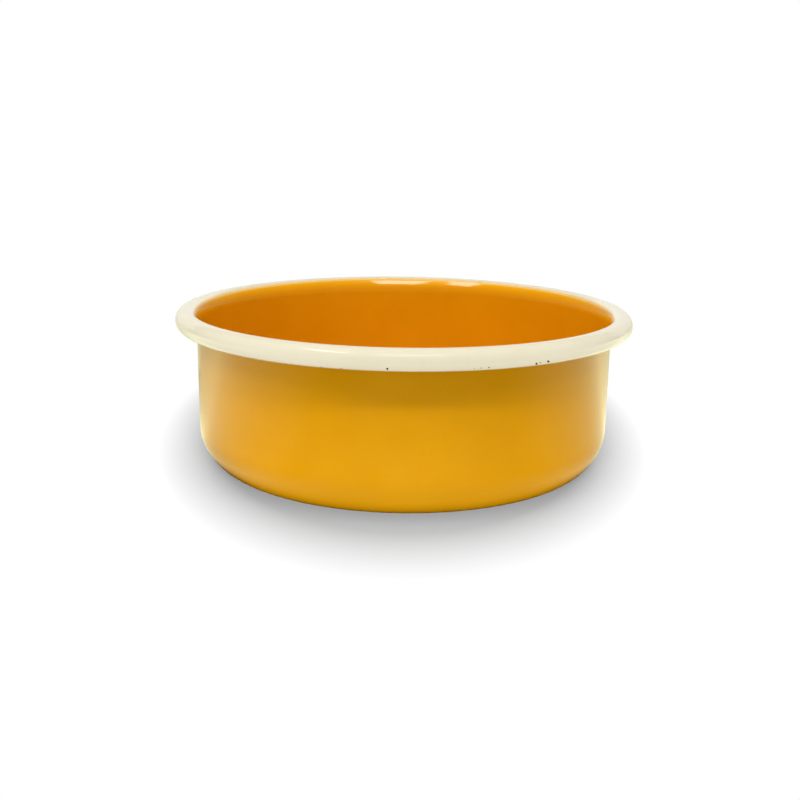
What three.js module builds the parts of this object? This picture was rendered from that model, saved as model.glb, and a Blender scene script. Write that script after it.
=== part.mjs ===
// Enamel pet bowl: a deep-drawn steel pan with a hollow rolled rim, coated in vitreous enamel.
// Millimetres, +Z up. The origin is the middle of the plane that the bowl stands on.
// Every layer is turned about the Z axis from one shared profile, at its own distance from the steel.

import * as THREE from 'three';

// Finished size of the bowl, over its enamel
const RIM_DIAMETER = 200;
const OVERALL_HEIGHT = 71.3;
const BEAD_WIDTH = 10.25;
const BEAD_HEIGHT = 8.8;
// The wall bends outward over this height, up to the top of the rim
const BEND_HEIGHT = 7.6;
const CORNER_RADIUS = 20.5;
// How much smaller the wall's radius is at its foot than at the rim
const WALL_TAPER = 0.45;

// The middle of the base is pressed up a little, so the bowl stands on a flat ring
const STANDING_RING_WIDTH = 9;
const RECESS_DEPTH = 1;
const RECESS_SLOPE_WIDTH = 5;

// Thickness of the layers, and the hairline kept between two of them
const STEEL_THICKNESS = 0.6;
const GROUND_COAT_THICKNESS = 0.1;
const COVER_COAT_THICKNESS = 0.15;
const BOND_GAP = 0.01;

// The curl's free edge stops short of the wall, and leaves a narrow mouth into the hollow bead
const CURL_MOUTH = 0.6;
// Where the cream rim begins, in degrees round the bead from its outermost line towards the inside
const RIM_COLOUR_ANGLE = 130;

// Fineness of the facets
const TURN_STEPS = 40;
const CORNER_STEP_ANGLE = 18;
const CURL_STEP_ANGLE = 23;

// Near and far face of each coat, as distances from the bare steel
const GROUND_NEAR = BOND_GAP;
const GROUND_FAR = GROUND_NEAR + GROUND_COAT_THICKNESS;
const COVER_NEAR = GROUND_FAR + BOND_GAP;
const COVER_FAR = COVER_NEAR + COVER_COAT_THICKNESS;
const FOOD_SURFACE = STEEL_THICKNESS + COVER_FAR;
const WALL_THICKNESS = FOOD_SURFACE + COVER_FAR;

// Places and angles that the profile is built on
const BEAD_CENTRE_RADIUS = (RIM_DIAMETER - BEAD_WIDTH) / 2;
const WALL_TOP_RADIUS = RIM_DIAMETER / 2 - BEAD_WIDTH + WALL_THICKNESS;
const WALL_FOOT_RADIUS = WALL_TOP_RADIUS - WALL_TAPER;
const CORNER_CENTRE = new THREE.Vector2(WALL_FOOT_RADIUS - CORNER_RADIUS, CORNER_RADIUS);
const RECESS_RADIUS = CORNER_CENTRE.x - STANDING_RING_WIDTH;
const CURL_START = Math.PI;
const COLOUR_BORDER = THREE.MathUtils.degToRad(RIM_COLOUR_ANGLE);
const CURL_END = -Math.acos((WALL_TOP_RADIUS + CURL_MOUTH - BEAD_CENTRE_RADIUS) / (BEAD_WIDTH / 2));

// A station is a point on the steel's outer face, with the direction from there towards the food
function station(x, y, inwardX, inwardY) {
  return { point: new THREE.Vector2(x, y), inward: new THREE.Vector2(inwardX, inwardY) };
}

// Angles from start down or up to end, in even steps of at most stepDegrees
function arcAngles(start, end, stepDegrees) {
  const count = Math.ceil(Math.abs(end - start) / THREE.MathUtils.degToRad(stepDegrees));
  return Array.from({ length: count + 1 }, (_, i) => THREE.MathUtils.lerp(start, end, i / count));
}

// Underside, from the axis over the pressed recess to the inner edge of the standing ring
function baseStations() {
  return [
    station(0, COVER_FAR + RECESS_DEPTH, 0, 1),
    station(RECESS_RADIUS - RECESS_SLOPE_WIDTH, COVER_FAR + RECESS_DEPTH, 0, 1),
    station(RECESS_RADIUS, COVER_FAR, 0, 1),
  ];
}

// Rounded corner, from the outer edge of the standing ring up to the foot of the wall
function cornerStation(angle) {
  const radius = CORNER_RADIUS - COVER_FAR;
  const [x, y] = [Math.cos(angle), Math.sin(angle)];
  return station(CORNER_CENTRE.x + radius * x, CORNER_CENTRE.y + radius * y, -x, -y);
}

// Rolled bead, at an angle round it from its outermost line; its shoulder on the food's side is the tallest
// part, and starts at the top of the straight wall
function curlStation(angle) {
  const height = angle > Math.PI / 2 ? BEND_HEIGHT : BEAD_HEIGHT / 2;
  const [x, y] = [Math.cos(angle), Math.sin(angle)];
  const across = (BEAD_WIDTH / 2 - FOOD_SURFACE) * x;
  const up = OVERALL_HEIGHT - height + (height - FOOD_SURFACE) * y;
  return station(BEAD_CENTRE_RADIUS + across, up, x, y);
}

// Angles round the curl, which stop at its quarter points and so keep its full width and height
function curlAngles(start, end) {
  const quarters = [Math.PI / 2, 0, -Math.PI / 2].filter((angle) => angle < start && angle > end);
  const stops = [start, ...quarters, end];
  const stretches = stops.slice(1).map((stop, i) => arcAngles(stops[i], stop, CURL_STEP_ANGLE).slice(1));
  return [start, ...stretches.flat()];
}

// A closed skin of revolution over a run of stations, between two distances from the steel's outer face
function skin(stations, outerDistance, innerDistance) {
  const faceAt = (distance) =>
    stations.map(({ point, inward }) => point.clone().addScaledVector(inward, distance));
  const outline = [...faceAt(outerDistance), ...faceAt(innerDistance).reverse()];
  const isRing = outline[0].x > 0;
  if (isRing) {
    outline.push(outline[0].clone());
  }
  return new THREE.LatheGeometry(outline, TURN_STEPS).rotateX(Math.PI / 2);
}

function insideCoat(stations, near, far) {
  return skin(stations, STEEL_THICKNESS + near, STEEL_THICKNESS + far);
}

function outsideCoat(stations, near, far) {
  return skin(stations, -far, -near);
}

function piece(name, material, geometry) {
  const mesh = new THREE.Mesh(geometry, material);
  mesh.name = name;
  return mesh;
}

const bareSteel = new THREE.MeshStandardMaterial({ color: 0x8a8d90, roughness: 0.45, metalness: 1 });
const groundGlass = new THREE.MeshStandardMaterial({ color: 0x1d212c, roughness: 0.3, metalness: 0 });
const insideMustard = new THREE.MeshStandardMaterial({ color: 0xe19a14, roughness: 0.12, metalness: 0 });
const outsideMustard = new THREE.MeshStandardMaterial({ color: 0xe5a21a, roughness: 0.12, metalness: 0 });
const rimCream = new THREE.MeshStandardMaterial({ color: 0xf2ebd2, roughness: 0.15, metalness: 0 });

// Runs of stations that the layers follow; the two colours on the bead meet a hairline apart
const halfHairline = BOND_GAP / BEAD_HEIGHT;
const corner = arcAngles(-Math.PI / 2, 0, CORNER_STEP_ANGLE).map(cornerStation);
const dish = [...baseStations(), ...corner];
const innerCurl = curlAngles(CURL_START, COLOUR_BORDER).map(curlStation);
const outerCurl = curlAngles(COLOUR_BORDER, CURL_END).map(curlStation);
const wholeRun = [...dish, ...innerCurl, ...outerCurl.slice(1)];
const insideRun = [...dish, ...innerCurl.slice(0, -1), curlStation(COLOUR_BORDER + halfHairline)];
const rimRun = [curlStation(COLOUR_BORDER - halfHairline), ...outerCurl.slice(1)];
// On the outside, the cover coat ends at the mouth, and the ground coat runs on into the hollow bead
const outsideRun = [...dish, innerCurl[0]];
const groundOutsideRun = [...outsideRun, innerCurl[1]];

const bowl = new THREE.Group();
bowl.add(
  piece('steel_pan', bareSteel, skin(wholeRun, 0, STEEL_THICKNESS)),
  piece('ground_coat_inside', groundGlass, insideCoat(wholeRun, GROUND_NEAR, GROUND_FAR)),
  piece('ground_coat_outside', groundGlass, outsideCoat(groundOutsideRun, GROUND_NEAR, GROUND_FAR)),
  piece('inside_enamel', insideMustard, insideCoat(insideRun, COVER_NEAR, COVER_FAR)),
  piece('rim_enamel', rimCream, insideCoat(rimRun, COVER_NEAR, COVER_FAR)),
  piece('outside_enamel', outsideMustard, outsideCoat(outsideRun, COVER_NEAR, COVER_FAR)),
);

export default bowl;
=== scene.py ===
import math
import random
from typing import NamedTuple

import bmesh
import bpy
from mathutils import Matrix, Quaternion, Vector, noise


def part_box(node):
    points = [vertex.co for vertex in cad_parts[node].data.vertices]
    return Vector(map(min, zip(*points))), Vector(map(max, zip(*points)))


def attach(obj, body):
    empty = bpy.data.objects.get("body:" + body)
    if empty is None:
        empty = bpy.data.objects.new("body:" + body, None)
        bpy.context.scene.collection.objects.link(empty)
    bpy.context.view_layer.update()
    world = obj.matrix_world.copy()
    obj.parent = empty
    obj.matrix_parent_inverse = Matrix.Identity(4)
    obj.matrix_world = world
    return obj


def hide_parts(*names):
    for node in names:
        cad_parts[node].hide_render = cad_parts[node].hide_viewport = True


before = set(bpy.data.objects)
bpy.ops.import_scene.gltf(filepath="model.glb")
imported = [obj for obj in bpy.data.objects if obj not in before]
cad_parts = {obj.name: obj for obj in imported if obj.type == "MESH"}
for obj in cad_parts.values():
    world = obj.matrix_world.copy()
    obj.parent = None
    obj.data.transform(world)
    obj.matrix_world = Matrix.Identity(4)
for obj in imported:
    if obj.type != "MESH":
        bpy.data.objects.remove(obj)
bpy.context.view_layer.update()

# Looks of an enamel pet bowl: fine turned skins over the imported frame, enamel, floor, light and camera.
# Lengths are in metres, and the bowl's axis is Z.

MM = 0.001

# Sizes that the frame gives
rim_low, rim_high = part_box("rim_enamel")
RIM_RADIUS = rim_high.x
RIM_TOP = rim_high.z
BEAD_HALF_HEIGHT = (rim_high.z - rim_low.z) / 2
BEAD_CENTRE_HEIGHT = (rim_high.z + rim_low.z) / 2
INSIDE_COAT_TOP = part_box("inside_enamel")[1].z
BEND_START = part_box("outside_enamel")[1].z
GROUND_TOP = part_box("ground_coat_outside")[1].z

# Sizes of the profile, as the solids have them
BEAD_HALF_WIDTH = 10.25 / 2 * MM
CORNER_RADIUS = 20.5 * MM
WALL_TAPER = 0.45 * MM
STANDING_RING_WIDTH = 9 * MM
RECESS_DEPTH = 1 * MM
RECESS_SLOPE_WIDTH = 5 * MM
STEEL = 0.6 * MM
GROUND_COAT = 0.1 * MM
COVER_COAT = 0.15 * MM
BOND_GAP = 0.01 * MM
CURL_MOUTH = 0.6 * MM

# Near and far face of each coat, as distances from the bare steel
GROUND_NEAR = BOND_GAP
GROUND_FAR = GROUND_NEAR + GROUND_COAT
COVER_NEAR = GROUND_FAR + BOND_GAP
COVER_FAR = COVER_NEAR + COVER_COAT
FOOD_SURFACE = STEEL + COVER_FAR
WALL_THICKNESS = FOOD_SURFACE + COVER_FAR

# Places that the profile is built on
BEAD_CENTRE = Vector((RIM_RADIUS - BEAD_HALF_WIDTH, BEAD_CENTRE_HEIGHT))
WALL_TOP_RADIUS = RIM_RADIUS - 2 * BEAD_HALF_WIDTH + WALL_THICKNESS
WALL_FOOT_RADIUS = WALL_TOP_RADIUS - WALL_TAPER
CORNER_CENTRE = Vector((WALL_FOOT_RADIUS - CORNER_RADIUS, CORNER_RADIUS))
RECESS_RADIUS = CORNER_CENTRE.x - STANDING_RING_WIDTH
# The wall bends outward from the top of the outside coat up to the top of the rim
BEND_HEIGHT = RIM_TOP - BEND_START
# Angles round the bead, from its outermost line: where the curl starts, where the outer first coat ends and
# where the curl's tip lies
CURL_START = math.pi
GROUND_END = math.pi - math.asin((GROUND_TOP - BEND_START) / (BEND_HEIGHT - FOOD_SURFACE))
CURL_TIP = -math.acos((WALL_TOP_RADIUS + CURL_MOUTH - BEAD_CENTRE.x) / BEAD_HALF_WIDTH)

# The cream wraps round the sheet's cut edge in a rounded lip, with a short tail inside the curl.
# The sheet stops short by the lip's radius, so that the curl's mouth keeps its width.
LIP_COAT = 0.12 * MM
LIP_RADIUS = (FOOD_SURFACE + LIP_COAT) / 2
LIP_TAIL = math.radians(12)
CURL_END = CURL_TIP + LIP_RADIUS / BEAD_HALF_HEIGHT

# Where the cream begins on the bead; its border is a circle set a little back from the axis, and wanders.
# Towards it the mustard turns lighter and yellower, a painted light on the inner shoulder, and along it
# thin mustard lies over cream.
COLOUR_BORDER = math.pi - math.asin((INSIDE_COAT_TOP - BEND_START) / BEND_HEIGHT)
BORDER_RADIUS = BEAD_CENTRE.x + BEAD_HALF_WIDTH * math.cos(COLOUR_BORDER)
BORDER_SET_BACK = 1.1 * MM
BORDER_WANDER = math.radians(1.6)
BORDER_WANDER_TURNS = 2.5
# How far from the border the painted lighter shoulder reaches
BORDER_REACH = math.radians(45)
BORDER_FADE = math.radians(11)
FADE_START = 1 - BORDER_FADE / BORDER_REACH
BORDER_HAIRLINE = BOND_GAP / (4 * BEAD_HALF_HEIGHT)
COAT_EDGE_ROUND = 0.05 * MM

# Pinholes in the cream, which show the dark first coat: azimuth from the front towards the right and angle
# round the bead, in degrees, and width and length in millimetres, with the length towards the front.
# The photograph shows these, and a few round ones lie at the sides and the back.
SEEN_PINHOLES = [
    (-36.4, -58, 0.65, 1.6),
    (-34.5, -61, 0.65, 1.7),
    (-18.2, -61, 0.7, 1.8),
    (-13.6, -59, 0.6, 1.6),
    (-3.4, -41, 0.85, 1.7),
    (15.4, -45, 0.4, 0.8),
    (16.9, -42, 0.45, 0.9),
    (18.7, -40, 0.55, 1.2),
    (30.6, -43, 0.9, 2.5),
    (31.5, -36, 0.55, 1.1),
    (33.7, -36, 0.85, 2.3),
]
OTHER_PINHOLES = 9
OTHER_SEED = 7
OTHER_AZIMUTHS = (60, 300)
OTHER_ANGLES = (-62, -30)
OTHER_WIDTHS = (0.4, 0.8)
PINHOLE_SIDES = 12
PINHOLE_FLARE = 1.1
PINHOLE_DEPTH = 2 * COVER_COAT
FRONT = Vector((0, -1, 0))

# Fineness of the skins
TURN_STEPS = 240
CORNER_STEPS = 18
WALL_STEPS = 4
RECESS_STEPS = 8
LIP_STEPS = 8
CURL_STEP = math.radians(6)
# Steps round the curl before and after the colour border, and up to the end of the outer first coat
INNER_STEPS = math.ceil((CURL_START - COLOUR_BORDER) / CURL_STEP)
OUTER_STEPS = math.ceil((COLOUR_BORDER - CURL_END) / CURL_STEP)
GROUND_STEPS = math.ceil((CURL_START - GROUND_END) / CURL_STEP)
SHARP_ANGLE = math.radians(35)


# Profile of the bowl

def station(x, y, inward_x, inward_y):
    """A point on the steel's outer face, with the direction from there towards the food."""
    return Vector((x, y)), Vector((inward_x, inward_y))


def base_run():
    """Underside, from the axis over the pressed recess to the inner edge of the standing ring."""
    run = [station(0, COVER_FAR + RECESS_DEPTH, 0, 1)]
    for i in range(RECESS_STEPS + 1):
        along = i / RECESS_STEPS
        rise = RECESS_DEPTH * (1 + math.cos(math.pi * along)) / 2
        run.append(station(RECESS_RADIUS - RECESS_SLOPE_WIDTH * (1 - along), COVER_FAR + rise, 0, 1))
    return run


def corner_run():
    """Rounded corner, from the standing ring up to the foot of the wall."""
    radius = CORNER_RADIUS - COVER_FAR
    run = []
    for i in range(CORNER_STEPS + 1):
        angle = math.pi / 2 * (i / CORNER_STEPS - 1)
        x, y = math.cos(angle), math.sin(angle)
        run.append(station(CORNER_CENTRE.x + radius * x, CORNER_CENTRE.y + radius * y, -x, -y))
    return run


def wall_run():
    """Straight wall, between the corner and the start of the bend."""
    run = []
    for i in range(1, WALL_STEPS):
        rise = i / WALL_STEPS
        height = CORNER_CENTRE.y + (BEND_START - CORNER_CENTRE.y) * rise
        radius = WALL_FOOT_RADIUS + WALL_TAPER * rise
        run.append(station(radius - COVER_FAR, height, -1, 0))
    return run


def curl_station(angle):
    """A place on the rolled bead, at an angle round it; the shoulder on the food's side is taller."""
    x, y = math.cos(angle), math.sin(angle)
    height = BEND_HEIGHT if angle > math.pi / 2 else BEAD_HALF_HEIGHT
    half_width = BEAD_HALF_WIDTH - FOOD_SURFACE
    return station(BEAD_CENTRE.x + half_width * x, RIM_TOP - height + (height - FOOD_SURFACE) * y, x, y)


def curl_run(start, end, count):
    """Stations round the curl, in a count of even steps from a start angle to an end angle."""
    return [curl_station(start + (end - start) * i / count) for i in range(count + 1)]


def off_steel(place, distance):
    """The point at a station that lies at one distance from the steel's outer face."""
    point, inward = place
    return point + inward * distance


def at_distance(run, distance):
    """The points of a run at one distance from the steel's outer face."""
    return [off_steel(place, distance) for place in run]


def border_angle(azimuth):
    """Angle round the bead of the border between the two colours."""
    where = Vector((math.cos(azimuth), math.sin(azimuth), 0)) * BORDER_WANDER_TURNS
    radius = BORDER_RADIUS + BORDER_SET_BACK * math.sin(azimuth)
    return math.acos((radius - BEAD_CENTRE.x) / BEAD_HALF_WIDTH) + BORDER_WANDER * noise.noise(where)


# Outlines of the layers

DISH_AND_WALL = base_run() + corner_run() + wall_run()


def whole_outline(near, far):
    """Outline of a layer that runs from the axis to the curl's free edge."""
    inner = curl_run(CURL_START, COLOUR_BORDER, INNER_STEPS)
    outer = curl_run(COLOUR_BORDER, CURL_END, OUTER_STEPS)
    run = DISH_AND_WALL + inner + outer[1:]
    return at_distance(run, near) + at_distance(run, far)[::-1]


def outside_outline(near, far, last_stations):
    """Outline of a coat on the underside and the outer wall, which ends with the given stations."""
    run = DISH_AND_WALL + last_stations
    return at_distance(run, -far) + at_distance(run, -near)[::-1]


def inside_outline(azimuth):
    """Outline of the mustard coat, from the axis up over the bead's inner shoulder."""
    border = border_angle(azimuth) + BORDER_HAIRLINE
    run = DISH_AND_WALL + curl_run(CURL_START, border, INNER_STEPS)
    edge = curl_station(border + COAT_EDGE_ROUND / BEAD_HALF_HEIGHT)
    food = at_distance(run[:-1] + [edge], FOOD_SURFACE)
    food.append(off_steel(run[-1], FOOD_SURFACE - COAT_EDGE_ROUND))
    return at_distance(run, STEEL + COVER_NEAR) + food[::-1]


def lip_outline(end):
    """The cream's lip, from its outer face round the sheet's cut edge to the tail, and back to the edge."""
    point, outward = end
    onward = Vector((outward.y, -outward.x))
    middle = off_steel(end, FOOD_SURFACE - LIP_RADIUS)
    lip = []
    for i in range(1, LIP_STEPS + 1):
        turn = math.pi * i / LIP_STEPS
        lip.append(middle + (outward * math.cos(turn) + onward * math.sin(turn)) * LIP_RADIUS)
    tail = curl_station(CURL_END + LIP_TAIL)
    lip += [off_steel(tail, -LIP_COAT), off_steel(tail, -BOND_GAP), off_steel(end, -BOND_GAP)]
    past_edge = (point + onward * BOND_GAP, outward)
    return lip + [off_steel(past_edge, -BOND_GAP), off_steel(past_edge, STEEL + COVER_NEAR)]


def rim_outline(azimuth):
    """Outline of the cream coat, round the outside of the bead and over the sheet's cut edge."""
    border = border_angle(azimuth) - BORDER_HAIRLINE
    run = curl_run(border, CURL_END, OUTER_STEPS)
    edge = curl_station(border - COAT_EDGE_ROUND / BEAD_HALF_HEIGHT)
    outer = [off_steel(run[0], FOOD_SURFACE - COAT_EDGE_ROUND)]
    outer += at_distance([edge] + run[1:], FOOD_SURFACE)
    return outer + lip_outline(run[-1]) + at_distance(run, STEEL + COVER_NEAR)[::-1]


# Skins of revolution

def smooth(mesh):
    """Smooth shading, with an edge kept where two faces meet at a sharp angle."""
    mesh.shade_smooth()
    mesh.set_sharp_from_angle(angle=SHARP_ANGLE)


def new_object(name, mesh_maker):
    """An object in the scene, from a mesh that is ready."""
    mesh = bpy.data.meshes.new(name)
    mesh_maker.to_mesh(mesh)
    mesh_maker.free()
    made = bpy.data.objects.new(name, mesh)
    bpy.context.scene.collection.objects.link(made)
    return made


def add_ring(mesh_maker, outline, azimuth, poles):
    """The corners of an outline at one azimuth; those on the axis are poles, which all azimuths share."""
    ring = []
    for index, (radius, height) in enumerate(outline):
        if radius > 0:
            place = (radius * math.cos(azimuth), radius * math.sin(azimuth), height)
            ring.append(mesh_maker.verts.new(place))
        else:
            if index not in poles:
                poles[index] = mesh_maker.verts.new((0, 0, height))
            ring.append(poles[index])
    return ring


def add_band(mesh_maker, here, there, spans):
    """The faces between two neighbouring rings, which are triangles at a pole."""
    count = len(here)
    for i in range(spans):
        after = (i + 1) % count
        corners = dict.fromkeys([here[i], there[i], there[after], here[after]])
        if len(corners) > 2:
            mesh_maker.faces.new(list(corners))


def turned(name, outline_at):
    """A closed skin of revolution, where outline_at gives the outline at an azimuth."""
    mesh_maker = bmesh.new()
    poles = {}
    rings = []
    for step in range(TURN_STEPS):
        azimuth = 2 * math.pi * step / TURN_STEPS
        rings.append(add_ring(mesh_maker, outline_at(azimuth), azimuth, poles))
    count = len(rings[0])
    # An outline that starts and ends on the axis needs no faces there
    spans = count - 1 if poles else count
    for step, ring in enumerate(rings):
        add_band(mesh_maker, ring, rings[(step + 1) % TURN_STEPS], spans)
    bmesh.ops.recalc_face_normals(mesh_maker, faces=mesh_maker.faces)
    piece = new_object(name, mesh_maker)
    smooth(piece.data)
    return piece


def add_piece(name, node, material, outline_at):
    """A fine skin that stands for one CAD node."""
    piece = turned(name, outline_at)
    piece.data.materials.append(material)
    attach(piece, "root")
    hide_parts(node)
    return piece


# Pinholes and the colour border

def all_pinholes():
    """The photographed pinholes, and a few like them round the sides and back of the rim."""
    dice = random.Random(OTHER_SEED)
    others = []
    for _ in range(OTHER_PINHOLES):
        azimuth = dice.uniform(*OTHER_AZIMUTHS)
        angle = dice.uniform(*OTHER_ANGLES)
        width = dice.uniform(*OTHER_WIDTHS)
        others.append((azimuth, angle, width, width))
    return SEEN_PINHOLES + others


def pinhole_stand(azimuth, angle, width, length):
    """The matrix that sets a plug 1 mm wide square to the cream's surface, and stretches it to its size."""
    point, outward = curl_station(math.radians(angle))
    surface = point + outward * FOOD_SURFACE
    spin = Quaternion((0, 0, 1), math.radians(azimuth - 90))
    direction = spin @ Vector((outward.x, 0, outward.y))
    lengthwise = (FRONT - direction * FRONT.dot(direction)).normalized()
    axes = Matrix((lengthwise.cross(direction), lengthwise, direction)).transposed()
    stand = axes.to_4x4() @ Matrix.Diagonal((width, length, 1, 1))
    stand.translation = spin @ Vector((surface.x, 0, surface.y))
    return stand


def pinhole_cutter():
    """One mesh of flared plugs, each deeper than the coat."""
    mesh_maker = bmesh.new()
    for pinhole in all_pinholes():
        plug = bmesh.ops.create_cone(
            mesh_maker, cap_ends=True, segments=PINHOLE_SIDES, depth=2 * PINHOLE_DEPTH,
            radius1=MM / 2 / PINHOLE_FLARE, radius2=MM / 2 * PINHOLE_FLARE)
        bmesh.ops.transform(mesh_maker, matrix=pinhole_stand(*pinhole), verts=plug["verts"])
    return new_object("pinhole_cutter", mesh_maker)


def cut_pinholes(piece):
    """Cuts the pinholes out of the cream coat."""
    cutter = pinhole_cutter()
    cut = piece.modifiers.new("pinholes", "BOOLEAN")
    cut.operation = "DIFFERENCE"
    cut.solver = "EXACT"
    cut.object = cutter
    whole = piece.evaluated_get(bpy.context.evaluated_depsgraph_get())
    holed = bpy.data.meshes.new_from_object(whole)
    piece.modifiers.clear()
    piece.data = holed
    smooth(holed)
    bpy.data.objects.remove(cutter)


def mark_border(piece):
    """Gives each corner of a skin its nearness to the colour border, from 0 where the painted lighter
    shoulder starts to 1.
    """
    marks = piece.data.attributes.new("border_nearness", "FLOAT", "POINT")
    for corner, mark in zip(piece.data.vertices, marks.data):
        x, y, z = corner.co
        across = (math.hypot(x, y) - BEAD_CENTRE.x) / BEAD_HALF_WIDTH
        angle = math.atan2((z - BEND_START) / BEND_HEIGHT, across)
        away = abs(angle - border_angle(math.atan2(y, x)))
        mark.value = max(0, 1 - away / BORDER_REACH)


# Shader nodes

# Most of a noise lies between these values
NOISE_LOW = 0.3
NOISE_HIGH = 0.7


def put(tree, value, socket):
    """Links a socket to another node's output, or sets it to a value."""
    if isinstance(value, bpy.types.NodeSocket):
        tree.links.new(value, socket)
    else:
        socket.default_value = value


def add_node(tree, kind, **sockets):
    """A node, with values or links given by socket name."""
    made = tree.nodes.new(kind)
    for name, value in sockets.items():
        put(tree, value, made.inputs[name.replace("_", " ")])
    return made


def math_on(tree, operation, *values):
    """One value worked out from others."""
    made = tree.nodes.new("ShaderNodeMath")
    made.operation = operation
    for value, socket in zip(values, made.inputs):
        put(tree, value, socket)
    return made.outputs["Value"]


def product(tree, first, *others):
    """Values multiplied together."""
    result = first
    for other in others:
        result = math_on(tree, "MULTIPLY", result, other)
    return result


def vector_math(tree, operation, *vectors):
    """The outputs of a node that works on vectors."""
    made = tree.nodes.new("ShaderNodeVectorMath")
    made.operation = operation
    for vector, socket in zip(vectors, made.inputs):
        put(tree, vector, socket)
    return made.outputs


def own_place(tree):
    """The place on an object, in its own coordinates."""
    return add_node(tree, "ShaderNodeTexCoord").outputs["Object"]


def noise_on(tree, scale, detail=2.0, roughness=0.5):
    """Smooth noise in the object's own coordinates; scale is in waves per metre."""
    made = add_node(
        tree, "ShaderNodeTexNoise", Vector=own_place(tree), Scale=scale, Detail=detail, Roughness=roughness)
    return made.outputs["Fac"]


def ranged(tree, value, low, high, start=NOISE_LOW, end=NOISE_HIGH):
    """A value spread over a new range: low up to its start, high from its end on."""
    made = add_node(
        tree, "ShaderNodeMapRange", Value=value, From_Min=start, From_Max=end, To_Min=low, To_Max=high)
    return made.outputs["Result"]


def opaque(colour):
    """A colour with the opacity that a socket takes; a link stays as it is."""
    return colour if isinstance(colour, bpy.types.NodeSocket) else (*colour, 1)


def mixed_colour(tree, factor, first, second):
    """A colour between two others."""
    made = tree.nodes.new("ShaderNodeMix")
    made.data_type = "RGBA"
    sockets = {socket.identifier: socket for socket in [*made.inputs, *made.outputs]}
    put(tree, factor, sockets["Factor_Float"])
    put(tree, opaque(first), sockets["A_Color"])
    put(tree, opaque(second), sockets["B_Color"])
    return sockets["Result_Color"]


def mixed_shader(tree, factor, first, second):
    """A shader between two others."""
    made = tree.nodes.new("ShaderNodeMixShader")
    tree.links.new(factor, made.inputs[0])
    tree.links.new(first.outputs[0], made.inputs[1])
    tree.links.new(second.outputs[0], made.inputs[2])
    return made


def bumped(tree, pattern, height, below=None):
    """A bump by a pattern, with a height in metres, which may lie on top of another one."""
    bump = add_node(tree, "ShaderNodeBump", Strength=1.0, Distance=height, Height=pattern)
    if below is not None:
        put(tree, below, bump.inputs["Normal"])
    return bump.outputs["Normal"]


# Materials

# Colours; each cover coat clouds between a thin one and a full one
# The inside's mustard is a shaded copy of the outside's, a little more orange, which stands in for the
# deeper light inside the bowl
INSIDE_THIN = (0.70, 0.285, 0.001)
INSIDE_FULL = (0.74, 0.31, 0.002)
OUTSIDE_THIN = (0.70, 0.31, 0.001)
OUTSIDE_FULL = (0.74, 0.335, 0.002)
CREAM_THIN = (0.83, 0.765, 0.565)
CREAM_FULL = (0.86, 0.80, 0.61)
SHOULDER_LIGHT_MUSTARD = (0.745, 0.362, 0.005)
MUSTARD_OVER_CREAM = (0.80, 0.57, 0.25)
WORN_MUSTARD = (0.56, 0.27, 0.03)
GROUND_BLACK = (0.006, 0.006, 0.006)
GROUND_SPECK = (0.018, 0.018, 0.021)
STEEL_DARK = (0.16, 0.16, 0.17)
STEEL_LIGHT = (0.34, 0.34, 0.35)

# Enamel: clouds, specks, a film on the gloss, long waves and orange peel, with scales in waves per metre
CLOUD_SCALE = 38
SPECK_SCALE = 950
SPECK_START = 0.62
SPECK_END = 0.78
SPECK_SHARE = 0.5
SPECK_SHADE = 0.93
FILM_SCALE = 70
ENAMEL_SMOOTHEST = 0.07
ENAMEL_ROUGHEST = 0.13
WAVE_SCALE = 55
WAVE_HEIGHT = 0.05 * MM
PEEL_SCALE = 330
PEEL_HEIGHT = 0.012 * MM
ENAMEL_IOR = 1.5

# Scuffs on the standing ring, which end a little above the floor
SCUFF_SCALE = 420
SCUFF_START = 0.42
SCUFF_END = 0.62
SCUFF_LEAST = 0.2
WEAR_FULL_UP_TO = 0.05 * MM
WEAR_ENDS_AT = 0.5 * MM
SCUFF_ROUGHNESS = 0.5
UNWORN_ROUGHNESS = 0.05

# First coat
GROUND_SPECK_SCALE = 700
GROUND_SPECK_START = 0.4
GROUND_SPECK_END = 0.75
GROUND_FILM_SCALE = 120
GROUND_SMOOTHEST = 0.45
GROUND_ROUGHEST = 0.65

# Sheet steel
OXIDE_SCALE = 90
STEEL_SMOOTHEST = 0.35
STEEL_ROUGHEST = 0.6
GRAIN_SCALE = 1500
GRAIN_HEIGHT = 0.01 * MM


def surface_of(material):
    """The shader of a material's surface."""
    return material.node_tree.nodes["Principled BSDF"]


def new_material(name):
    """A material, with its node tree and the inputs of its surface."""
    material = bpy.data.materials.new(name)
    material.use_nodes = True
    return material, material.node_tree, surface_of(material).inputs


def enamel(name, thin_colour, full_colour):
    """Fired glass: a little cloudy in colour and gloss, with a soft orange peel over long shallow waves."""
    material, tree, surface = new_material(name)
    clouds = ranged(tree, noise_on(tree, CLOUD_SCALE, detail=3.0), 0, 1)
    clouded = mixed_colour(tree, clouds, thin_colour, full_colour)
    specks = ranged(tree, noise_on(tree, SPECK_SCALE, detail=1.0), 0, SPECK_SHARE, SPECK_START, SPECK_END)
    speck_colour = tuple(SPECK_SHADE * part for part in thin_colour)
    put(tree, mixed_colour(tree, specks, clouded, speck_colour), surface["Base Color"])
    film = ranged(tree, noise_on(tree, FILM_SCALE, detail=4.0), ENAMEL_SMOOTHEST, ENAMEL_ROUGHEST)
    put(tree, film, surface["Roughness"])
    waves = bumped(tree, noise_on(tree, WAVE_SCALE, detail=1.0), WAVE_HEIGHT)
    peel = bumped(tree, noise_on(tree, PEEL_SCALE, detail=1.5), PEEL_HEIGHT, below=waves)
    put(tree, peel, surface["Normal"])
    put(tree, ENAMEL_IOR, surface["IOR"])
    return material


def tint(material, share, colour):
    """Mixes a share of another colour into a material's own."""
    tree = material.node_tree
    base = surface_of(material).inputs["Base Color"]
    put(tree, mixed_colour(tree, share, base.links[0].from_socket, colour), base)


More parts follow.
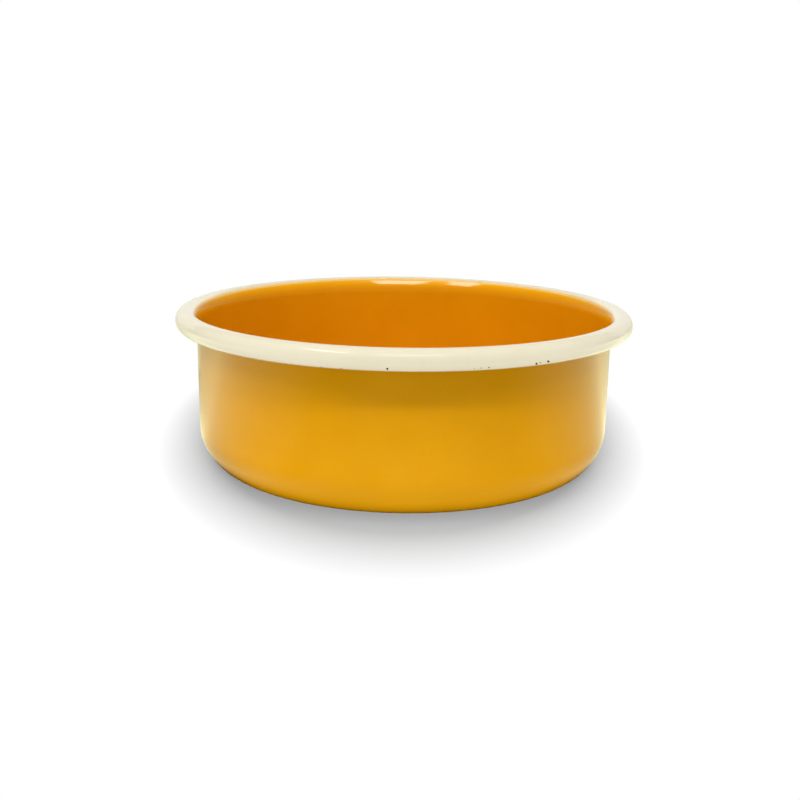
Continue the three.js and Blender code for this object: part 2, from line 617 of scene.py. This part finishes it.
def tint_near_border(material, start, colour):
    """Turns the coat to another colour towards the colour border, from a start nearness on."""
    near = material.node_tree.nodes.new("ShaderNodeAttribute")
    near.attribute_name = "border_nearness"
    tint(material, ranged(material.node_tree, near.outputs["Fac"], 0, 1, start, 1), colour)


def wear_foot(material):
    """Fine scuffs and a dull gloss where the bowl stands on the floor."""
    tree = material.node_tree
    height = add_node(tree, "ShaderNodeSeparateXYZ", Vector=own_place(tree)).outputs["Z"]
    low = ranged(tree, height, 1, 0, WEAR_FULL_UP_TO, WEAR_ENDS_AT)
    scratches = noise_on(tree, SCUFF_SCALE, detail=5.0, roughness=0.7)
    scuffs = ranged(tree, scratches, SCUFF_LEAST, 1, SCUFF_START, SCUFF_END)
    worn = product(tree, low, scuffs)
    tint(material, worn, WORN_MUSTARD)
    roughness = surface_of(material).inputs["Roughness"]
    dull = ranged(tree, worn, UNWORN_ROUGHNESS, SCUFF_ROUGHNESS, 0, 1)
    put(tree, math_on(tree, "MAXIMUM", roughness.links[0].from_socket, dull), roughness)


def ground_enamel(name):
    """The dark first coat: near-black glass with a faint speckle, dull under the cover coats."""
    material, tree, surface = new_material(name)
    speckle = noise_on(tree, GROUND_SPECK_SCALE, detail=3.0, roughness=0.7)
    specks = ranged(tree, speckle, 0, 1, GROUND_SPECK_START, GROUND_SPECK_END)
    put(tree, mixed_colour(tree, specks, GROUND_BLACK, GROUND_SPECK), surface["Base Color"])
    film = ranged(tree, noise_on(tree, GROUND_FILM_SCALE, detail=3.0), GROUND_SMOOTHEST, GROUND_ROUGHEST)
    put(tree, film, surface["Roughness"])
    return material


def sheet_steel(name):
    """Bare cold-rolled sheet, with the rolling's fine grain and grey patches of oxide from the fire."""
    material, tree, surface = new_material(name)
    oxide = noise_on(tree, OXIDE_SCALE, detail=5.0, roughness=0.6)
    colour = mixed_colour(tree, ranged(tree, oxide, 0, 1), STEEL_DARK, STEEL_LIGHT)
    put(tree, colour, surface["Base Color"])
    put(tree, ranged(tree, oxide, STEEL_SMOOTHEST, STEEL_ROUGHEST), surface["Roughness"])
    put(tree, bumped(tree, noise_on(tree, GRAIN_SCALE), GRAIN_HEIGHT), surface["Normal"])
    put(tree, 1.0, surface["Metallic"])
    return material


INSIDE_MUSTARD = enamel("inside_mustard", INSIDE_THIN, INSIDE_FULL)
OUTSIDE_MUSTARD = enamel("outside_mustard", OUTSIDE_THIN, OUTSIDE_FULL)
CREAM = enamel("cream_enamel", CREAM_THIN, CREAM_FULL)
# Painted light: the inner shoulder turns lighter and yellower towards the border, where it bends up to the
# lamps
tint_near_border(INSIDE_MUSTARD, 0, SHOULDER_LIGHT_MUSTARD)
tint_near_border(INSIDE_MUSTARD, FADE_START, MUSTARD_OVER_CREAM)
tint_near_border(CREAM, FADE_START, MUSTARD_OVER_CREAM)
wear_foot(OUTSIDE_MUSTARD)
GROUND = ground_enamel("ground_enamel")
SHEET = sheet_steel("sheet_steel")

# The bowl's pieces

pan_sheet = add_piece(
    "pan_sheet", "steel_pan", SHEET, lambda azimuth: whole_outline(0, STEEL))
ground_skin_inside = add_piece(
    "ground_skin_inside", "ground_coat_inside", GROUND,
    lambda azimuth: whole_outline(STEEL + GROUND_NEAR, STEEL + GROUND_FAR))
ground_skin_outside = add_piece(
    "ground_skin_outside", "ground_coat_outside", GROUND,
    lambda azimuth: outside_outline(
        GROUND_NEAR, GROUND_FAR, curl_run(CURL_START, GROUND_END, GROUND_STEPS)))
inside_skin = add_piece("inside_skin", "inside_enamel", INSIDE_MUSTARD, inside_outline)
rim_skin = add_piece("rim_skin", "rim_enamel", CREAM, rim_outline)
cut_pinholes(rim_skin)
mark_border(inside_skin)
mark_border(rim_skin)
outside_skin = add_piece(
    "outside_skin", "outside_enamel", OUTSIDE_MUSTARD,
    lambda azimuth: outside_outline(COVER_NEAR, COVER_FAR, [curl_station(CURL_START)]))
# The photograph's floor shadow is a plain grey, so the wall throws no mustard light on the floor
outside_skin.visible_diffuse = False


# World and floor

# Even light from all sides
AMBIENT = 0.4

# How far a direction points to the back is measured along an axis that is tilted steeply down and a little
# to the left. On the floor it goes from about -0.42 straight in front to 0.42 straight behind.
# Below, FROM and TO are such measures, and START and END are distances from the bowl's axis.
BACK_TILT = math.radians(65)
BACK_LEFTWARD = 0.05
BACK_AXIS = Vector((-BACK_LEFTWARD, math.cos(BACK_TILT), -math.sin(BACK_TILT)))

# The gloss mirrors a room that is dim overhead and by the camera, with a paler wall behind the bowl
ROOM_DIM = 0.03
ROOM_WALL = 0.3
ROOM_WALL_FROM = -0.3
ROOM_WALL_TO = 0.35

FLOOR_HALF_SIZE = 1.5
FLOOR_DROP = 0.1 * MM
FLOOR_COLOUR = (0.7, 0.7, 0.7)
# The floor's lit grey fades to plain white past an oval, narrow from side to side, and past a circle: a
# painted shadow edge round the bowl
PAINTED_SHADOW_BEHIND_AXIS = 0.091
PAINTED_SHADOW_SQUEEZE = 1.95
PAINTED_SHADOW_OVAL_START = 0.1875
PAINTED_SHADOW_OVAL_END = 0.2345
PAINTED_SHADOW_CIRCLE_START = 0.145
PAINTED_SHADOW_CIRCLE_END = 0.185

# In the gloss the floor glows, a painted reflection that is yellowish and gets brighter further out
MIRRORED_FLOOR_COLOUR = (1, 1, 0.64)
MIRRORED_FLOOR = 1.4
MIRRORED_FAR_FLOOR = 1.85
MIRRORED_FLOOR_START = 0.1
MIRRORED_FLOOR_END = 0.32
# It is dim in front, brightens towards the sides, and dims again straight behind, less so far from the bowl
MIRRORED_FRONT = 0.03
SIDES_FROM = -0.3
SIDES_TO = 0.15
MIRRORED_BEHIND = 0.25
BEHIND_FROM = 0.17
BEHIND_TO = 0.38
MIRRORED_FAR_BEHIND = 0.5
FAR_BEHIND_START = 0.15
FAR_BEHIND_END = 0.25
# By the foot it is dark, a painted shade. Round that lies a painted bright ring, which is faint in front
# and pale at the sides and behind.
RING_START = 0.083
RING_PEAK = 0.093
RING_END = 0.118
RING_AT_FRONT = 0.08
RING_AT_SIDES = 0.6
RING_FROM = -0.42
RING_TO = -0.25

# Light that the floor throws up at the bowl: it grows from the foot out to the rim, fades further out, and
# is weaker at the sides and behind
BOUNCE = 1.5
BOUNCE_FADE_START = 0.16
BOUNCE_FADE_END = 0.34
BOUNCE_AT_SIDES = 0.3
BOUNCE_SIDES_FROM = -0.27
BOUNCE_SIDES_TO = -0.1


def towards_back(tree, direction):
    """How far a direction from the bowl points to the back and down."""
    return vector_math(tree, "DOT_PRODUCT", direction, BACK_AXIS)["Value"]


def make_world():
    """White to the camera, a dim room with a paler wall in the gloss, and an even light for the rest."""
    world = bpy.data.worlds.new("world")
    world.use_nodes = True
    tree = world.node_tree
    even = tree.nodes["Background"]
    white = tree.nodes.new("ShaderNodeBackground")
    mirrored = tree.nodes.new("ShaderNodeBackground")
    for background in (even, white, mirrored):
        background.inputs["Color"].default_value = (1, 1, 1, 1)
    put(tree, AMBIENT, even.inputs["Strength"])
    back = towards_back(tree, add_node(tree, "ShaderNodeTexCoord").outputs["Generated"])
    room = ranged(tree, back, ROOM_DIM, ROOM_WALL, ROOM_WALL_FROM, ROOM_WALL_TO)
    put(tree, room, mirrored.inputs["Strength"])
    path = tree.nodes.new("ShaderNodeLightPath").outputs
    lit_or_mirrored = mixed_shader(tree, path["Is Glossy Ray"], even, mirrored)
    seen = math_on(tree, "MAXIMUM", path["Is Camera Ray"], path["Is Transmission Ray"])
    whole = mixed_shader(tree, seen, lit_or_mirrored, white)
    put(tree, whole.outputs[0], tree.nodes["World Output"].inputs["Surface"])
    bpy.context.scene.world = world


def floor_seen_with_painted_shadow(tree, grey, place, away):
    """What the camera sees: lit grey round the bowl, which keeps its shadow, and plain white further out,
    where an oval and a circle paint the shadow's soft edge.
    """
    oval = add_node(
        tree, "ShaderNodeMapping", Vector=place,
        Location=(0, -PAINTED_SHADOW_BEHIND_AXIS, 0), Scale=(PAINTED_SHADOW_SQUEEZE, 1, 1))
    away_in_painted_oval = vector_math(tree, "LENGTH", oval.outputs["Vector"])["Value"]
    past_painted_oval = ranged(tree, away_in_painted_oval, 0, 1, PAINTED_SHADOW_OVAL_START, PAINTED_SHADOW_OVAL_END)
    past_painted_circle = ranged(tree, away, 0, 1, PAINTED_SHADOW_CIRCLE_START, PAINTED_SHADOW_CIRCLE_END)
    white = tree.nodes.new("ShaderNodeEmission")
    return mixed_shader(tree, math_on(tree, "MAXIMUM", past_painted_oval, past_painted_circle), grey, white)


def painted_floor_reflection(tree, away, back):
    """A painted reflection, which the floor shows in the gloss only: a glow further out, and a bright ring
    round a dark, shaded foot.
    """
    by_distance = ranged(
        tree, away, MIRRORED_FLOOR, MIRRORED_FAR_FLOOR, MIRRORED_FLOOR_START, MIRRORED_FLOOR_END)
    to_sides = ranged(tree, back, MIRRORED_FRONT, 1, SIDES_FROM, SIDES_TO)
    near_behind = ranged(tree, back, 1, MIRRORED_BEHIND, BEHIND_FROM, BEHIND_TO)
    far_behind = ranged(tree, away, 0, MIRRORED_FAR_BEHIND, FAR_BEHIND_START, FAR_BEHIND_END)
    to_behind = math_on(tree, "MAXIMUM", near_behind, far_behind)
    past_ring = ranged(tree, away, 0, 1, RING_START, RING_END)
    plain = product(tree, past_ring, by_distance, to_sides, to_behind)

    to_peak = ranged(tree, away, 0, 1, RING_START, RING_PEAK)
    past_peak = ranged(tree, away, 1, 0, RING_PEAK, RING_END)
    by_side = ranged(tree, back, RING_AT_FRONT, RING_AT_SIDES, RING_FROM, RING_TO)
    ring = product(tree, to_peak, past_peak, by_side)

    strength = math_on(tree, "ADD", plain, ring)
    return add_node(tree, "ShaderNodeEmission", Color=opaque(MIRRORED_FLOOR_COLOUR), Strength=strength)


def floor_bounce(tree, away, back):
    """Light for the bowl from below."""
    past_the_foot = ranged(tree, away, 0, 1, CORNER_CENTRE.x, RIM_RADIUS)
    fade = ranged(tree, away, BOUNCE, 0, BOUNCE_FADE_START, BOUNCE_FADE_END)
    by_side = ranged(tree, back, 1, BOUNCE_AT_SIDES, BOUNCE_SIDES_FROM, BOUNCE_SIDES_TO)
    return add_node(tree, "ShaderNodeEmission", Strength=product(tree, past_the_foot, fade, by_side))


def floor_material():
    """A floor that is one thing to the camera, with the edge of its shadow painted, another in the gloss,
    where it shows a painted reflection, and a third as a light from below.
    """
    material, tree, surface = new_material("floor")
    # The floor isn't sampled as a lamp, because what it gives depends on the kind of ray
    material.cycles.emission_sampling = "NONE"
    put(tree, opaque(FLOOR_COLOUR), surface["Base Color"])
    put(tree, 1, surface["Roughness"])
    put(tree, 0, surface["Specular IOR Level"])
    place = own_place(tree)
    away = vector_math(tree, "LENGTH", place)["Value"]
    back = towards_back(tree, vector_math(tree, "NORMALIZE", place)["Vector"])
    seen = floor_seen_with_painted_shadow(tree, surface_of(material), place, away)
    path = tree.nodes.new("ShaderNodeLightPath").outputs
    seen_or_mirrored = mixed_shader(tree, path["Is Glossy Ray"], seen, painted_floor_reflection(tree, away, back))
    whole = mixed_shader(tree, path["Is Diffuse Ray"], seen_or_mirrored, floor_bounce(tree, away, back))
    put(tree, whole.outputs[0], tree.nodes["Material Output"].inputs["Surface"])
    return material


def make_floor():
    """The floor, a hair under the bowl's foot."""
    mesh_maker = bmesh.new()
    bmesh.ops.create_grid(mesh_maker, x_segments=1, y_segments=1, size=FLOOR_HALF_SIZE)
    floor = new_object("floor", mesh_maker)
    floor.location.z = -FLOOR_DROP
    floor.data.materials.append(floor_material())
    return floor


make_world()
floor = make_floor()


# Soft boxes

class SoftBox(NamedTuple):
    """A box that faces the bowl: azimuth, elevation and roll in degrees, width and height in metres.

    Azimuth 0 is the camera's side, and positive is to the right. A box that shines is seen in the gloss and
    gives no other light. The others only light.
    """
    azimuth: float
    elevation: float
    width: float
    height: float
    roll: float = 0
    shines: bool = False


LAMP_DISTANCE = 1.0
SOFT_BOXES = {
    "front": SoftBox(4, 58, 0.37, 0.36),
    "front_flat": SoftBox(4, 58.5, 0.37, 0.08),
    "front_fill": SoftBox(0, 45, 0.6, 0.3),
    "front_low": SoftBox(0, 8, 0.6, 0.2),
    "left": SoftBox(-53, 53, 0.24, 0.42),
    "left_low": SoftBox(-75, 4, 0.6, 0.12),
    "right": SoftBox(53, 53, 0.28, 0.36),
    "right_low": SoftBox(75, 4, 0.6, 0.12),
    "back": SoftBox(180, 60, 0.9, 0.5),
    "back_low": SoftBox(180, 10, 0.9, 0.2),
    "top": SoftBox(0, 89.5, 0.5, 0.5),
    "front_shine": SoftBox(4.5, 62.5, 0.4, 0.6, shines=True),
    "left_shine": SoftBox(-57, 62, 0.205, 0.63, roll=38, shines=True),
    "front_strip": SoftBox(5, 60.5, 0.45, 0.12, shines=True),
    "left_strip": SoftBox(-60, 61, 0.33, 0.12, shines=True),
    "back_shine": SoftBox(180, 14, 2.6, 0.55, shines=True),
}

# Each set of surfaces gets its own light from the boxes, in watts
LIT_SETS = {
    "outside": [outside_skin, ground_skin_outside],
    "inside": [inside_skin, ground_skin_inside, pan_sheet],
    "rim": [rim_skin],
    "floor": [floor],
}
POWERS = {
    "outside": {
        "front_flat": 4.1, "left": 4.3, "right": 2.5, "left_low": 1.0, "back": 7.0, "back_low": 3.0,
    },
    "inside": {
        "front": 3.1, "left": 2.9, "right": 0.5, "top": 5.2, "front_shine": 6.6, "left_shine": 3.5,
    },
    "rim": {
        "front_fill": 4.7, "top": 2.2, "left_low": 2.9, "right_low": 1.9, "back": 1.0, "back_low": 4.0,
        "front_strip": 1.0, "left_strip": 0.95, "back_shine": 2.5,
    },
    "floor": {
        "front_low": 21.3, "back": 2.3,
    },
}


def outward_from(azimuth, elevation):
    """The direction from the bowl at an azimuth and elevation in degrees."""
    turn, lift = math.radians(azimuth), math.radians(elevation)
    return Vector((math.sin(turn) * math.cos(lift), -math.cos(turn) * math.cos(lift), math.sin(lift)))


def face_bowl(thing, target, outward, distance, roll):
    """Puts a lamp or camera at a distance from a target, turned towards it and rolled by degrees."""
    thing.location = target + outward * distance
    thing.rotation_mode = "QUATERNION"
    thing.rotation_quaternion = outward.to_track_quat("Z", "Y") @ Quaternion((0, 0, 1), math.radians(roll))
    bpy.context.scene.collection.objects.link(thing)


def make_lamp(name, box, power, receivers):
    """A soft box that lights its receivers only."""
    data = bpy.data.lights.new(name, "AREA")
    data.shape = "RECTANGLE"
    data.size = box.width
    data.size_y = box.height
    data.energy = power
    lamp = bpy.data.objects.new(name, data)
    lamp.visible_glossy = box.shines
    lamp.visible_diffuse = not box.shines
    outward = outward_from(box.azimuth, box.elevation)
    face_bowl(lamp, Vector((0, 0, BEAD_CENTRE.y)), outward, LAMP_DISTANCE, box.roll)
    lit = bpy.data.collections.new(name + "_lights")
    for piece in receivers:
        lit.objects.link(piece)
    lamp.light_linking.receiver_collection = lit


for set_name, powers in POWERS.items():
    for box_name, power in powers.items():
        make_lamp(f"{box_name}_box_{set_name}", SOFT_BOXES[box_name], power, LIT_SETS[set_name])


# Camera, from a fit to the bowl's outlines in the photograph's 800 by 800 frame

IMAGE_SIZE = 800
AIM_PIXEL = Vector((403.07, 386.02))
FOCAL_PIXELS = 1222.75
CAMERA_DISTANCE = 0.55
CAMERA_ELEVATION = 13.01
CAMERA_ROLL = 0.86
AIM_HEIGHT = 0.035
NEAREST_SEEN = 0.01


def make_camera():
    """The camera, shifted so that the point that it aims at lies on its pixel."""
    data = bpy.data.cameras.new("camera")
    data.lens = FOCAL_PIXELS / IMAGE_SIZE * data.sensor_width
    data.shift_x = (IMAGE_SIZE / 2 - AIM_PIXEL.x) / IMAGE_SIZE
    data.shift_y = (AIM_PIXEL.y - IMAGE_SIZE / 2) / IMAGE_SIZE
    data.clip_start = NEAREST_SEEN
    camera = bpy.data.objects.new("camera", data)
    outward = outward_from(0, CAMERA_ELEVATION)
    face_bowl(camera, Vector((0, 0, AIM_HEIGHT)), outward, CAMERA_DISTANCE, CAMERA_ROLL)
    bpy.context.scene.camera = camera


make_camera()
bpy.context.scene.view_settings.view_transform = "Standard"
